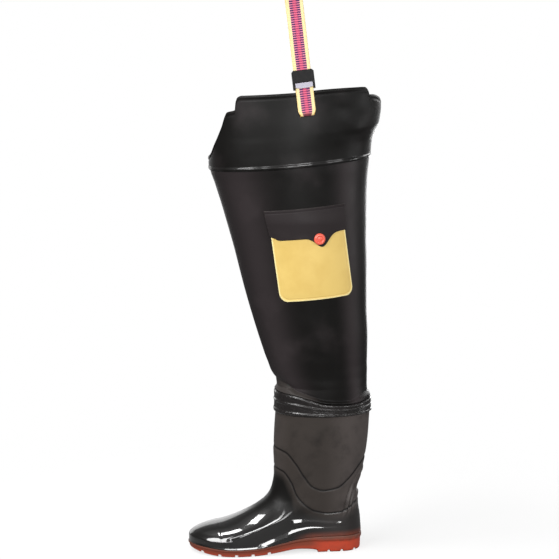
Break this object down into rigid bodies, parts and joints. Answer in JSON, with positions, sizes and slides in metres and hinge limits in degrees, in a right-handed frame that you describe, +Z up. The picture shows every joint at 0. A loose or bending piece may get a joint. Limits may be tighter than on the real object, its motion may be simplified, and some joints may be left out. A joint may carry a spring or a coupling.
{
  "type": "hip wader",
  "caption": "Left hip wader in black PVC with a red lugged outsole, welded sheet leg, snap pocket, and a belt strap with a buckle.",
  "frame": {"origin": "on the floor under the middle of the heel", "axes": "+Z up, the toe along -Y, the outer side of the left leg along +X"},
  "size_m": [0.237, 0.3423, 1.039],
  "materials": {
    "sole_red": "satin",
    "boot_black": "glossy",
    "sheet_black": "satin",
    "pocket_yellow": "satin",
    "snap_red": "glossy",
    "webbing": "woven",
    "buckle_black": "satin",
    "bar_grey": "satin",
    "insole_grey": "matte"
  },
  "bodies": {
    "root": {"outsole": "sole_red", "insole": "insole_grey", "boot": "boot_black", "joint_band": "boot_black", "leg": "sheet_black", "hip_panel": "sheet_black", "pocket": "pocket_yellow", "pocket_flap": "sheet_black", "snap": "snap_red", "strap": "webbing", "buckle": "buckle_black", "buckle_bar": "bar_grey"}
  },
  "joints": []
}
